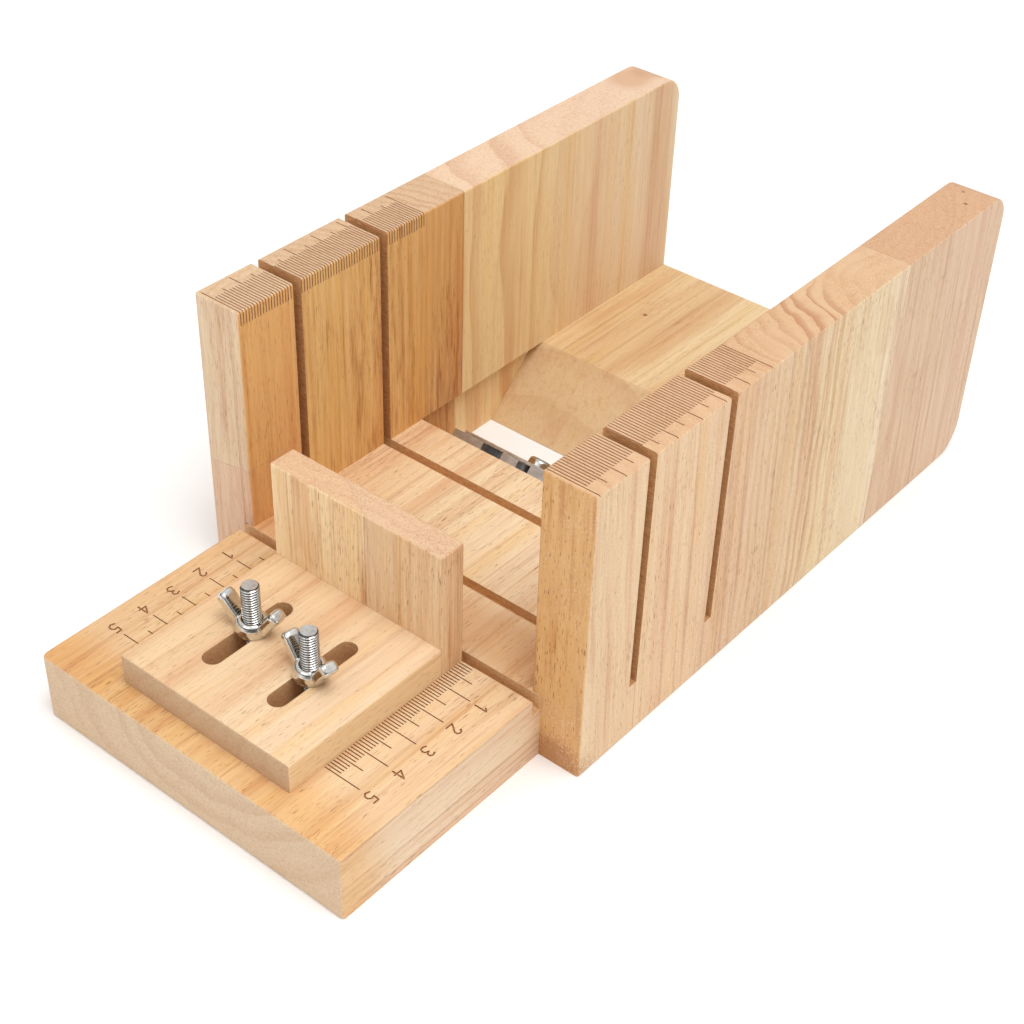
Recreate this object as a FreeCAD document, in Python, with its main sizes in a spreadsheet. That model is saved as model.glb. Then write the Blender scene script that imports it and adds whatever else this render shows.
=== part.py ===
import FreeCAD, Part
import math
import os

import Sketcher
from FreeCAD import Placement, Rotation, Vector

# Soap loaf mould: a wooden box with two side walls, a floor in two boards and open ends.
# Saw kerfs across the walls and floor guide a knife, a sliding stop sets the slice width,
# and a plane iron is bedded in the throat between the two floor boards.
#
# Frame: millimetres, +Z up, +X to the right, +Y from the stop towards the back.
# The origin is on the underside, in the middle of the length and the width.

DOC = FreeCAD.newDocument("soap_loaf_mould")

DIMENSIONS = [
    ("channel_width", 99.5, "clear width between the walls"),
    ("wall_thickness", 16.0, "side walls"),
    ("wall_height", 89.5, "side walls, from the underside"),
    ("wall_length", 194.0, "side walls"),
    ("front_reach", 72.5, "floor in front of the walls"),
    ("base_thickness", 20.5, "floor boards"),
    ("housing_depth", 3.0, "rebate in each wall that takes the floor's edge"),
    ("ease_radius", 0.7, "sanded edges of the boards"),
    ("base_ease_radius", 1.0, "front edges of the front board"),
    ("base_corner_radius", 2.2, "front board, upright edge at the left"),
    ("rear_top_radius", 8.0, "walls, rear top corner"),
    ("rear_bottom_radius", 10.0, "walls, rear bottom corner"),
    ("left_joint", 88.25, "glue line of the left wall, behind the wall's front end"),
    ("right_joint", 138.25, "glue line of the right wall, behind the wall's front end"),
    ("block_joint_outer", 36.5, "butt joint of the left end blocks, height at the outer face"),
    ("block_joint_inner", 39.5, "butt joint of the left end blocks, height at the inner face"),
    ("kerf_width", 3.0, "saw kerfs"),
    ("kerf_depth", 3.0, "kerfs, below the floor"),
    ("kerf_first", 21.25, "centre of the first kerf, behind the wall's front end"),
    ("kerf_second", 54.5, "centre of the second kerf, behind the wall's front end"),
    ("groove_depth", 4.5, "front groove, below the floor"),
    ("groove_centre", -1.75, "front groove, from the wall's front end"),
    ("throat_front", 69.75, "top edge of the bed, behind the wall's front end"),
    ("throat_rear", 127.75, "top edge of the ramp, behind the wall's front end"),
    ("ramp_run", 21.5, "length of the ramp along the floor"),
    ("tick_width", 0.3, "engraved lines"),
    ("tick_depth", 0.35, "engraved lines"),
    ("wall_ruler_start", 1.0, "first line, behind the wall's front end"),
    ("left_short_tick", 10.2, "millimetre lines on the left wall's top"),
    ("left_middle_tick", 11.8, "five millimetre lines on the left wall's top"),
    ("left_long_tick", 14.5, "ten millimetre lines on the left wall's top"),
    ("right_short_tick", 11.4, "millimetre lines on the right wall's top"),
    ("right_middle_tick", 14.0, "five millimetre lines on the right wall's top"),
    ("right_long_tick", 16.0, "ten millimetre lines on the right wall's top"),
    ("side_tick", 4.2, "millimetre lines down the left wall's inner face"),
    ("ruler_zero", 3.25, "zero of the floor rulers, in front of the walls"),
    ("right_tick_start", 28.0, "floor ruler at the right, from the middle"),
    ("right_short_end", 33.7, "end of its millimetre lines"),
    ("right_middle_end", 37.0, "end of its five millimetre lines"),
    ("right_long_end", 40.6, "end of its ten millimetre lines"),
    ("left_tick_start", 37.2, "floor ruler at the left, from the middle"),
    ("left_middle_end", 39.1, "end of its five millimetre lines"),
    ("left_long_end", 42.7, "end of its ten millimetre lines"),
    ("left_digit_centre", -46.2, "middle of the left digits"),
    ("right_digit_centre", 44.3, "middle of the right digits"),
    ("digit_height", 3.6, "digits"),
    ("digit_stroke", 0.45, "digits"),
    ("stop_width", 58.5, "sliding stop"),
    ("foot_thickness", 9.0, "stop's foot"),
    ("foot_front", -65.0, "stop's front edge, from the wall's front end"),
    ("fence_front", -11.25, "fence, front face, from the wall's front end"),
    ("fence_thickness", 8.5, "fence"),
    ("fence_height", 38.5, "fence, above the floor"),
    ("fence_joint_front", 3.75, "scarfed glue line of the fence, at its front face"),
    ("fence_joint_rear", -10.5, "scarfed glue line of the fence, at its rear face"),
    ("slot_width", 5.6, "slots of the foot"),
    ("slot_front", -53.25, "front end of the slots, from the wall's front end"),
    ("slot_rear", -23.75, "rear end of the slots, from the wall's front end"),
    ("bolt_spread", 11.4, "bolts and slots, from the middle"),
    ("left_bolt_place", -36.75, "left bolt, from the wall's front end"),
    ("right_bolt_place", -39.25, "right bolt, from the wall's front end"),
    ("bolt_diameter", 5.0, "coach bolts, M5"),
    ("bolt_top", 44.25, "bolts, height of the free end"),
    ("bolt_chamfer", 0.6, "free end of the bolts"),
    ("bolt_head_diameter", 11.5, "mushroom heads"),
    ("bolt_head_height", 2.8, "mushroom heads"),
    ("bolt_head_round", 2.0, "mushroom heads, rounded rim"),
    ("bolt_neck", 5.4, "square necks, across the flats"),
    ("bolt_neck_length", 3.0, "square necks"),
    ("recess_diameter", 13.0, "recesses for the heads"),
    ("recess_depth", 4.0, "recesses for the heads"),
    ("bolt_clearance", 0.05, "radial clearance on the bolts"),
    ("nut_base_diameter", 9.4, "wing nuts, lower edge"),
    ("nut_top_diameter", 7.8, "wing nuts, upper edge of the hub"),
    ("nut_hub_height", 4.0, "wing nuts, hub"),
    ("nut_height", 10.0, "wing nuts, over the wings"),
    ("wing_root", 2.9, "wings, radius at the hub"),
    ("wing_low", 1.0, "wings, lowest point"),
    ("wing_toe_radius", 4.3, "wings, radius of the lowest point"),
    ("wing_toe_height", 1.7, "wings, height where the outer faces start to lean"),
    ("wing_shoulder", 3.8, "wings, height where the inner faces leave the hub"),
    ("wing_tip_low", 8.9, "wings, outer height of the tips"),
    ("wing_tip", 10.2, "wings, outer radius at the tips"),
    ("wing_root_thickness", 3.0, "wings, radial thickness at the hub"),
    ("wing_tip_thickness", 3.2, "wings, radial thickness at the tips"),
    ("wing_width", 3.9, "wings, across"),
    ("wing_round", 0.8, "rounded edges of the wings"),
    ("bed_angle", 45.0, "bed of the iron, from the floor"),
    ("iron_half_width", 38.0, "plane iron"),
    ("iron_thickness", 2.4, "plane iron"),
    ("iron_start", 0.4, "iron's upper end, down the bed"),
    ("iron_rest_height", 0.3, "cutting edge above the underside"),
    ("iron_bevel", 30.0, "ground bevel of the iron"),
    ("iron_notch_depth", 11.0, "notches in the iron's upper end"),
    ("iron_ear", 27.0, "inner edge of the iron's ears, from the middle"),
    ("iron_tongue_outer", 19.5, "outer edge of the iron's tongues, from the middle"),
    ("iron_tongue_inner", 3.3, "inner edge of the iron's tongues, from the middle"),
    ("iron_slot_width", 4.4, "slots of the iron"),
    ("iron_slot_end", 17.0, "closed end of the slots, down the bed"),
    ("iron_round", 0.5, "iron's upper edge"),
    ("cap_half_width", 36.0, "cap plate"),
    ("cap_start", 3.0, "cap plate's upper edge, down the bed"),
    ("cap_end", 20.0, "cap plate's lower edge, down the bed"),
    ("cap_thickness", 1.0, "cap plate"),
    ("screw_place", 9.0, "blade screws, down the bed"),
    ("screw_diameter", 4.0, "blade screws"),
    ("screw_depth", 12.0, "blade screws, in the bed"),
    ("screw_clearance", 0.05, "radial clearance on the blade screws"),
    ("screw_point", 1.2, "blade screws, tapered point"),
    ("screw_head_diameter", 7.6, "pan heads"),
    ("screw_head_height", 2.4, "pan heads"),
    ("screw_head_round", 1.3, "pan heads, rounded rim"),
    ("screw_recess_width", 0.9, "cross recess"),
    ("screw_recess_length", 4.0, "cross recess"),
    ("screw_recess_depth", 1.2, "cross recess"),
    ("dowel_diameter", 8.0, "dowels between floor and walls"),
    ("dowel_in_base", 18.0, "dowels, depth in the floor's edge"),
    ("dowel_in_wall", 9.0, "dowels, depth in the wall"),
    ("dowel_gap", 1.0, "room left behind each dowel"),
    ("first_dowel", 11.0, "first dowel of a wall, behind the wall's front end"),
    ("second_dowel", 38.0, "second dowel of a wall"),
    ("third_dowel", 64.0, "third dowel of a wall, the last in the front board"),
    ("fourth_dowel", 150.0, "fourth dowel of a wall, in the rear board"),
    ("fifth_dowel", 180.0, "fifth dowel of a wall"),
    ("small_dowel_diameter", 5.0, "dowels between the foot and the fence"),
    ("small_dowel_in_foot", 10.0, "these dowels, depth in the foot"),
    ("small_dowel_in_fence", 5.5, "these dowels, depth in the fence"),
    ("small_dowel_spread", 23.0, "these dowels, from the middle"),
    ("left_nut_turn", 8.0, "left wing nut, degrees about its bolt"),
    ("right_nut_turn", -10.0, "right wing nut, degrees about its bolt"),
]

FRONT_DOWELS = ("dims.first_dowel", "dims.second_dowel", "dims.third_dowel")
REAR_DOWELS = ("dims.fourth_dowel", "dims.fifth_dowel")
STOP_DOWELS = ("-dims.small_dowel_spread", "dims.small_dowel_spread")

# First and last millimetre line of each stretch of the wall rulers. The kerfs take the lines between.
BLOCK_LINES = (0, 18)
STAVE_LINES = (22, 70)
WHOLE_LINES = (0, 70)

# How far a cut runs out past the face that it opens.
OVERRUN = "1"

# Digits as strokes through points in a unit box: x to the reader's right, y up.
DIGIT_STROKES = {
    1: [[(0.1, 0.75), (0.35, 1.0), (0.35, 0.0)]],
    2: [[(0.02, 0.8), (0.12, 0.95), (0.3, 1.0), (0.48, 0.9), (0.5, 0.68), (0.0, 0.0), (0.58, 0.0)]],
    3: [
        [(0.04, 0.9), (0.26, 1.0), (0.48, 0.9), (0.48, 0.66), (0.22, 0.54)],
        [(0.22, 0.54), (0.46, 0.46), (0.56, 0.26), (0.46, 0.06), (0.24, 0.0), (0.0, 0.1)],
    ],
    4: [[(0.42, 0.0), (0.42, 1.0), (0.0, 0.34), (0.6, 0.34)]],
    5: [
        [(0.54, 1.0), (0.1, 1.0), (0.06, 0.56)],
        [(0.06, 0.56), (0.34, 0.6), (0.54, 0.42), (0.54, 0.18), (0.3, 0.0), (0.0, 0.1)],
    ],
}
DIGIT_WIDTH = 0.58

# Expressions in the sheet's cells that several sub-parts share.
HALF_CHANNEL = "dims.channel_width / 2"
OUTER_FACE = "dims.channel_width / 2 + dims.wall_thickness"
HALF_BASE = "dims.channel_width / 2 + dims.housing_depth"
WALL_FRONT = "(dims.front_reach - dims.wall_length) / 2"
BASE_FRONT = "-(dims.front_reach + dims.wall_length) / 2"
WALL_REAR = "(dims.front_reach + dims.wall_length) / 2"
FLOOR = "dims.base_thickness"
TOP = "dims.wall_height"
FOOT_TOP = "dims.base_thickness + dims.foot_thickness"
ZERO = "0"

NODES = []


def make_sheet():
    """The driving dimensions, one row each: note, value."""
    sheet = DOC.addObject("Spreadsheet::Sheet", "dims")
    for row, (alias, value, note) in enumerate(DIMENSIONS, start=1):
        sheet.set(f"A{row}", note)
        sheet.set(f"B{row}", str(value))
        sheet.setAlias(f"B{row}", alias)
    DOC.recompute()
    return sheet


SHEET = make_sheet()


def value(expression):
    """The number that an expression in the sheet's cells gives now."""
    return float(SHEET.evalExpression(expression))


def from_front(name):
    """Expression for a place that is given behind the walls' front end."""
    return f"({WALL_FRONT}) + ({name})"


def node(item):
    """Registers a finished sub-part: its Label names its node."""
    NODES.append(item)
    return item


# ---- sketches ----


def new_body(label):
    body = DOC.addObject("PartDesign::Body", label)
    body.Label = label
    return body


def sketch_on(body, role, name, offset=ZERO):
    """A sketch on one of the body's origin planes, moved along the plane's normal by offset."""
    sketch = body.newObject("Sketcher::SketchObject", name)
    plane = next(item for item in body.Origin.OriginFeatures if item.Role == role)
    sketch.AttachmentSupport = [(plane, "")]
    sketch.MapMode = "FlatFace"
    sketch.AttachmentOffset = Placement(Vector(0, 0, value(offset)), Rotation())
    sketch.setExpression("AttachmentOffset.Base.z", offset)
    return sketch


def hold(sketch, kind, geometry, point, expression):
    """Ties a point, a radius or a length of the sketch to an expression."""
    number = value(expression)
    if kind == "Radius":
        constraint = Sketcher.Constraint(kind, geometry, number)
    else:
        constraint = Sketcher.Constraint(kind, -1, 1, geometry, point, number)
    index = sketch.addConstraint(constraint)
    sketch.setExpression(f"Constraints[{index}]", expression)


def draw_outline(sketch, corners):
    """A closed outline of straight lines through corners, each a pair of expressions."""
    points = [Vector(value(x), value(y), 0) for x, y in corners]
    count = len(points)
    first = sketch.GeometryCount
    for number in range(count):
        sketch.addGeometry(Part.LineSegment(points[number], points[(number + 1) % count]))
    for number in range(count):
        following = first + (number + 1) % count
        sketch.addConstraint(Sketcher.Constraint("Coincident", first + number, 2, following, 1))
    for number, (x, y) in enumerate(corners):
        hold(sketch, "DistanceX", first + number, 1, x)
        hold(sketch, "DistanceY", first + number, 1, y)


def draw_box(sketch, left, right, low, high):
    draw_outline(sketch, [(left, low), (right, low), (right, high), (left, high)])


def draw_circle(sketch, across, up, radius):
    centre = Vector(value(across), value(up), 0)
    circle = sketch.addGeometry(Part.Circle(centre, Vector(0, 0, 1), value(radius)))
    hold(sketch, "DistanceX", circle, 3, across)
    hold(sketch, "DistanceY", circle, 3, up)
    hold(sketch, "Radius", circle, 0, radius)


def draw_slot(sketch, across, low, high, radius):
    """A slot that runs up the sketch, with round ends whose centres are at low and high."""
    x, y_low, y_high, r = value(across), value(low), value(high), value(radius)
    normal = Vector(0, 0, 1)
    right = sketch.addGeometry(Part.LineSegment(Vector(x + r, y_low, 0), Vector(x + r, y_high, 0)))
    top_circle = Part.Circle(Vector(x, y_high, 0), normal, r)
    top = sketch.addGeometry(Part.ArcOfCircle(top_circle, 0, math.pi))
    left = sketch.addGeometry(Part.LineSegment(Vector(x - r, y_high, 0), Vector(x - r, y_low, 0)))
    bottom_circle = Part.Circle(Vector(x, y_low, 0), normal, r)
    bottom = sketch.addGeometry(Part.ArcOfCircle(bottom_circle, math.pi, 2 * math.pi))
    for one, two in ((right, top), (top, left), (left, bottom), (bottom, right)):
        sketch.addConstraint(Sketcher.Constraint("Tangent", one, 2, two, 1))
    for arc, up in ((top, high), (bottom, low)):
        hold(sketch, "DistanceX", arc, 3, across)
        hold(sketch, "DistanceY", arc, 3, up)
        hold(sketch, "Radius", arc, 0, radius)


# ---- features ----


def pad(body, sketch, length):
    feature = body.newObject("PartDesign::Pad", "Pad")
    feature.Profile = sketch
    feature.setExpression("Length", length)
    DOC.recompute()
    return feature


def pocket(body, sketch, depth, along_normal=False):
    """Cuts against the sketch's normal, or along it, and checks that material went."""
    before = body.Tip.Shape.Volume
    feature = body.newObject("PartDesign::Pocket", "Pocket")
    feature.Profile = sketch
    feature.Reversed = along_normal
    feature.setExpression("Length", depth)
    DOC.recompute()
    if feature.Shape.Volume >= before:
        raise RuntimeError(f"{body.Label}: {sketch.Label} cuts nothing")
    return feature


def repeat_along_y(body, feature, spacing, count):
    """Repeats a pocket along the body's Y axis."""
    pattern = body.newObject("PartDesign::LinearPattern", "Pattern")
    pattern.Originals = [feature]
    axis = next(item for item in body.Origin.OriginFeatures if item.Role == "Y_Axis")
    pattern.Direction = (axis, [""])
    pattern.Length = spacing * (count - 1)
    pattern.Occurrences = count
    body.Tip = pattern
    DOC.recompute()
    return pattern


def edge_names(shape, **place):
    """Names of the edges that lie, from end to end, at the given x, y or z."""
    tolerance = 0.01
    names = []
    for number, edge in enumerate(shape.Edges, start=1):
        box = edge.BoundBox
        spans = {
            "x": (box.XMin, box.XMax),
            "y": (box.YMin, box.YMax),
            "z": (box.ZMin, box.ZMax),
        }
        held = [abs(end - target) < tolerance for key, target in place.items() for end in spans[key]]
        if all(held):
            names.append(f"Edge{number}")
    return names


def round_edges(body, places, radius):
    """Rounds every edge of the body's tip that lies at one of the places."""
    base = body.Tip
    names = []
    for place in places:
        found = edge_names(base.Shape, **{key: value(expr) for key, expr in place.items()})
        if not found:
            raise RuntimeError(f"{body.Label}: no edge at {place}")
        names.extend(name for name in found if name not in names)
    fillet = body.newObject("PartDesign::Fillet", "Fillet")
    fillet.Base = (base, names)
    fillet.setExpression("Radius", radius)
    DOC.recompute()
    return fillet


# ---- engraved rulers ----


def engrave_wall_top(body, side, first, last):
    """Millimetre lines on a wall's top, numbered from the ruler's first line; side is -1 or 1."""
    wall = "left" if side < 0 else "right"
    numbers = range(first, last + 1)
    rows = (
        (f"{wall}_short_tick", 1, list(numbers)),
        (f"{wall}_middle_tick", 10, [number for number in numbers if number % 10 == 5]),
        (f"{wall}_long_tick", 10, [number for number in numbers if number % 10 == 0]),
    )
    inner = f"{side} * ({HALF_CHANNEL})"
    for length, spacing, numbers in rows:
        sketch = sketch_on(body, "XY_Plane", length, TOP)
        end = f"{side} * ({HALF_CHANNEL} + dims.{length})"
        draw_tick(sketch, inner, end, from_front(f"dims.wall_ruler_start + {numbers[0]}"))
        cut = pocket(body, sketch, "dims.tick_depth")
        if len(numbers) > 1:
            repeat_along_y(body, cut, spacing, len(numbers))


def engrave_inner_face(body, first, last):
    """The same millimetre lines, carried down the left wall's inner face."""
    sketch = sketch_on(body, "YZ_Plane", "side_tick", f"-({HALF_CHANNEL})")
    place = from_front(f"dims.wall_ruler_start + {first}")
    low = f"{TOP} - dims.side_tick"
    draw_box(sketch, f"{place} - dims.tick_width / 2", f"{place} + dims.tick_width / 2", low, TOP)
    cut = pocket(body, sketch, "dims.tick_depth")
    repeat_along_y(body, cut, 1, last - first + 1)


def draw_tick(sketch, start, end, place):
    """A thin box across X at a place along Y."""
    left, right = sorted((start, end), key=value)
    draw_box(sketch, left, right, f"{place} - dims.tick_width / 2", f"{place} + dims.tick_width / 2")


def engrave_floor_rulers(body):
    """Rulers on the floor at both sides of the stop. They count forwards from the front groove."""
    rows = (
        ("dims.right_tick_start", "dims.right_short_end", 50, 1, 51),
        ("dims.right_tick_start", "dims.right_middle_end", 45, 10, 5),
        ("dims.right_tick_start", "dims.right_long_end", 50, 10, 5),
        ("-dims.left_middle_end", "-dims.left_tick_start", 45, 10, 5),
        ("-dims.left_long_end", "-dims.left_tick_start", 50, 10, 5),
    )
    for start, end, farthest, spacing, count in rows:
        sketch = sketch_on(body, "XY_Plane", "floor_ruler", FLOOR)
        draw_tick(sketch, start, end, from_front(f"-dims.ruler_zero - {farthest}"))
        cut = pocket(body, sketch, "dims.tick_depth")
        repeat_along_y(body, cut, spacing, count)


def digit_shape(strokes):
    """One digit: straight bars between the points of its strokes, with round joints."""
    height = value("dims.digit_height")
    radius = value("dims.digit_stroke") / 2
    depth = value("dims.tick_depth")
    pieces = []
    for points in strokes:
        corners = [Vector(x * height, y * height, 0) for x, y in points]
        pieces.extend(Part.makeCylinder(radius, depth, corner) for corner in corners)
        for start, end in zip(corners, corners[1:]):
            run = end - start
            sideways = run.cross(Vector(0, 0, 1)).normalize() * radius
            bar = Part.makeBox(run.Length, 2 * radius, depth)
            bar.Placement = Placement(start + sideways, Rotation(Vector(1, 0, 0), run))
            pieces.append(bar)
    return pieces[0].fuse(pieces[1:])


def digits():
    """Digits 1 to 5 beside both floor rulers. They read towards the front, with their tops to +X."""
    height = value("dims.digit_height")
    bottom = value(f"{FLOOR} - dims.tick_depth")
    shapes = []
    for number, strokes in DIGIT_STROKES.items():
        along = value(from_front(f"-dims.ruler_zero - {10 * number}"))
        for centre in ("dims.left_digit_centre", "dims.right_digit_centre"):
            shape = digit_shape(strokes)
            corner = Vector(value(centre) - height / 2, along + DIGIT_WIDTH * height / 2, bottom)
            shape.Placement = Placement(corner, Rotation(Vector(0, 0, 1), -90))
            shapes.append(shape)
    feature = DOC.addObject("Part::Feature", "digits")
    feature.Shape = Part.makeCompound(shapes)
    return feature


# ---- floor boards ----


def dowel_holes(body, across, places):
    """Blind holes in the side edges of a floor board."""
    depth = "dims.dowel_in_base + dims.dowel_gap"
    for side, along_normal in ((1, False), (-1, True)):
        sketch = sketch_on(body, "YZ_Plane", "dowel_holes", f"{side} * ({across})")
        for place in places:
            draw_circle(sketch, from_front(place), f"{FLOOR} / 2", "dims.dowel_diameter / 2")
        pocket(body, sketch, depth, along_normal)


def base_front_board():
    """Front floor board: kerfs, rulers, holes for the stop's bolts and the 45 degree bed."""
    body = new_body("base_front_blank")
    bed_top = from_front("dims.throat_front")
    bed_foot = f"{bed_top} + {FLOOR} / tan(dims.bed_angle)"
    profile = sketch_on(body, "YZ_Plane", "profile", f"-({HALF_BASE})")
    draw_outline(profile, [(BASE_FRONT, ZERO), (bed_foot, ZERO), (bed_top, FLOOR), (BASE_FRONT, FLOOR)])
    pad(body, profile, f"2 * ({HALF_BASE})")
    round_edges(body, [{"y": BASE_FRONT, "x": f"-({HALF_BASE})"}], "dims.base_corner_radius")
    front_edges = [{"z": FLOOR}, {"z": ZERO}, {"x": HALF_BASE}]
    round_edges(body, [{"y": BASE_FRONT, **place} for place in front_edges], "dims.base_ease_radius")

    kerfs = sketch_on(body, "YZ_Plane", "kerfs", HALF_BASE)
    half_kerf = "dims.kerf_width / 2"
    cuts = (
        ("dims.kerf_first", "dims.kerf_depth"),
        ("dims.kerf_second", "dims.kerf_depth"),
        ("dims.groove_centre", "dims.groove_depth"),
    )
    for place, depth in cuts:
        middle = from_front(place)
        draw_box(kerfs, f"{middle} - {half_kerf}", f"{middle} + {half_kerf}", f"{FLOOR} - {depth}", FLOOR)
    pocket(body, kerfs, f"2 * ({HALF_BASE})")

    dowel_holes(body, HALF_BASE, FRONT_DOWELS)
    bolt_holes(body)
    screw_holes(body)
    engrave_floor_rulers(body)

    board = DOC.addObject("Part::Cut", "base_front_board")
    board.Base = body
    board.Tool = digits()
    return node(board)


def bolt_holes(body):
    """Round holes, square mortises for the necks and recesses for the heads, from below."""
    neck = "dims.bolt_neck / 2"
    round_holes = sketch_on(body, "XY_Plane", "bolt_holes")
    mortises = sketch_on(body, "XY_Plane", "bolt_mortises")
    recesses = sketch_on(body, "XY_Plane", "bolt_recesses")
    for across, along in bolt_places():
        draw_circle(round_holes, across, along, "dims.bolt_diameter / 2 + dims.bolt_clearance")
        low, high = f"{along} - {neck}", f"{along} + {neck}"
        draw_box(mortises, f"{across} - {neck}", f"{across} + {neck}", low, high)
        draw_circle(recesses, across, along, "dims.recess_diameter / 2")
    pocket(body, round_holes, FLOOR, along_normal=True)
    pocket(body, mortises, "dims.recess_depth + dims.bolt_neck_length", along_normal=True)
    pocket(body, recesses, "dims.recess_depth", along_normal=True)


def bolt_places():
    left = ("-dims.bolt_spread", from_front("dims.left_bolt_place"))
    right = ("dims.bolt_spread", from_front("dims.right_bolt_place"))
    return left, right


def screw_holes(body):
    """Pilot holes for the blade screws, square to the bed."""
    sketch = body.newObject("Sketcher::SketchObject", "screw_holes")
    plane = next(item for item in body.Origin.OriginFeatures if item.Role == "XY_Plane")
    sketch.AttachmentSupport = [(plane, "")]
    sketch.MapMode = "FlatFace"
    sketch.AttachmentOffset = bed_placement()
    sketch.setExpression("AttachmentOffset.Base.y", from_front("dims.throat_front"))
    sketch.setExpression("AttachmentOffset.Base.z", FLOOR)
    for side in ("-", ""):
        radius = "dims.screw_diameter / 2 + dims.screw_clearance"
        draw_circle(sketch, f"{side}dims.bolt_spread", "dims.screw_place", radius)
    pocket(body, sketch, "dims.screw_depth + dims.dowel_gap")


def bed_placement():
    """Frame of the bed: x across, y down the bed, z out of the bed, from the bed's top edge."""
    base = Vector(0, value(from_front("dims.throat_front")), value(FLOOR))
    return Placement(base, Rotation(Vector(1, 0, 0), -value("dims.bed_angle")))


def base_rear_board():
    """Rear floor board, with the ramp that faces the bed across the throat."""
    body = new_body("base_rear_board")
    ramp_top = from_front("dims.throat_rear")
    ramp_foot = from_front("dims.throat_rear - dims.ramp_run")
    profile = sketch_on(body, "YZ_Plane", "profile", f"-({HALF_BASE})")
    draw_outline(profile, [(ramp_foot, ZERO), (WALL_REAR, ZERO), (WALL_REAR, FLOOR), (ramp_top, FLOOR)])
    pad(body, profile, f"2 * ({HALF_BASE})")
    round_edges(body, [{"y": WALL_REAR, "z": FLOOR}, {"y": WALL_REAR, "z": ZERO}], "dims.ease_radius")
    dowel_holes(body, HALF_BASE, REAR_DOWELS)
    return node(body)


# ---- walls ----


def wall_faces(side):
    """Expressions for a wall's inner, rebate and outer face; side is -1 or 1."""
    inner = f"{side} * ({HALF_CHANNEL})"
    rebate = f"{side} * ({HALF_BASE})"
    outer = f"{side} * ({OUTER_FACE})"
    return inner, rebate, outer


def wall_stave(label, side, start, end, rear_end, front_end):
    """A stave of a wall, with the rebate for the floor. Its exposed edges are eased."""
    inner, rebate, outer = wall_faces(side)
    body = new_body(label)
    lower_x = min(inner, outer, key=value)
    profile = sketch_on(body, "YZ_Plane", "profile", lower_x)
    draw_box(profile, start, end, ZERO, TOP)
    pad(body, profile, "dims.wall_thickness")
    if rear_end:
        round_edges(body, [{"y": end, "z": TOP}], "dims.rear_top_radius")
        round_edges(body, [{"y": end, "z": ZERO}], "dims.rear_bottom_radius")

    housing = sketch_on(body, "YZ_Plane", "housing", max(inner, rebate, key=value))
    draw_box(housing, f"{start} - {OVERRUN}", f"{end} + {OVERRUN}", f"-{OVERRUN}", FLOOR)
    pocket(body, housing, "dims.housing_depth")

    exposed = [{"x": inner, "z": TOP}, {"x": outer, "z": TOP}, {"x": outer, "z": ZERO}]
    if front_end:
        exposed.extend([{"y": start, "z": TOP}, {"y": start, "x": inner}, {"y": start, "x": outer}])
    round_edges(body, exposed, "dims.ease_radius")
    return body


def cut_kerf(body, side, place):
    """A kerf through a wall, from its top to below the floor."""
    inner, _, outer = wall_faces(side)
    sketch = sketch_on(body, "YZ_Plane", "kerf", max(inner, outer, key=value))
    middle = from_front(place)
    half_kerf = "dims.kerf_width / 2"
    low = f"{FLOOR} - dims.kerf_depth"
    draw_box(sketch, f"{middle} - {half_kerf}", f"{middle} + {half_kerf}", low, f"{TOP} + {OVERRUN}")
    pocket(body, sketch, "dims.wall_thickness")


def wall_dowel_holes(body, side, places):
    _, rebate, _ = wall_faces(side)
    sketch = sketch_on(body, "YZ_Plane", "dowel_holes", rebate)
    for place in places:
        draw_circle(sketch, from_front(place), f"{FLOOR} / 2", "dims.dowel_diameter / 2")
    pocket(body, sketch, "dims.dowel_in_wall + dims.dowel_gap", along_normal=side > 0)


def left_end_block(label, corners, eased):
    """A block of the left wall's front end, up to the middle of the first kerf."""
    body = new_body(label)
    profile = sketch_on(body, "XZ_Plane", "profile", f"-({from_front('dims.kerf_first')})")
    draw_outline(profile, corners)
    pad(body, profile, "dims.kerf_first")
    round_edges(body, eased, "dims.ease_radius")
    cut_kerf(body, -1, "dims.kerf_first")
    return body


def left_wall():
    inner, rebate, outer = wall_faces(-1)
    front = WALL_FRONT
    joint_outer = "dims.block_joint_outer"
    joint_inner = "dims.block_joint_inner"

    upper_corners = [(outer, joint_outer), (inner, joint_inner), (inner, TOP), (outer, TOP)]
    upper_edges = [{"y": front, "x": inner}, {"y": front, "x": outer}, {"y": front, "z": TOP}]
    upper_edges += [{"x": inner, "z": TOP}, {"x": outer, "z": TOP}]
    upper = left_end_block("left_wall_end_block_upper", upper_corners, upper_edges)
    engrave_wall_top(upper, -1, *BLOCK_LINES)
    engrave_inner_face(upper, *BLOCK_LINES)
    node(upper)

    lower_corners = [(outer, ZERO), (rebate, ZERO), (rebate, FLOOR), (inner, FLOOR)]
    lower_corners += [(inner, joint_inner), (outer, joint_outer)]
    lower_edges = [{"y": front, "x": inner}, {"y": front, "x": outer}, {"x": outer, "z": ZERO}]
    lower = left_end_block("left_wall_end_block_lower", lower_corners, lower_edges)
    wall_dowel_holes(lower, -1, FRONT_DOWELS[:1])
    node(lower)

    start, joint = from_front("dims.kerf_first"), from_front("dims.left_joint")
    front_stave = wall_stave("left_wall_front_stave", -1, start, joint, False, False)
    cut_kerf(front_stave, -1, "dims.kerf_first")
    cut_kerf(front_stave, -1, "dims.kerf_second")
    wall_dowel_holes(front_stave, -1, FRONT_DOWELS[1:])
    engrave_wall_top(front_stave, -1, *STAVE_LINES)
    engrave_inner_face(front_stave, *STAVE_LINES)
    node(front_stave)

    rear_stave = wall_stave("left_wall_rear_stave", -1, joint, WALL_REAR, True, False)
    wall_dowel_holes(rear_stave, -1, REAR_DOWELS)
    node(rear_stave)


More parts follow.
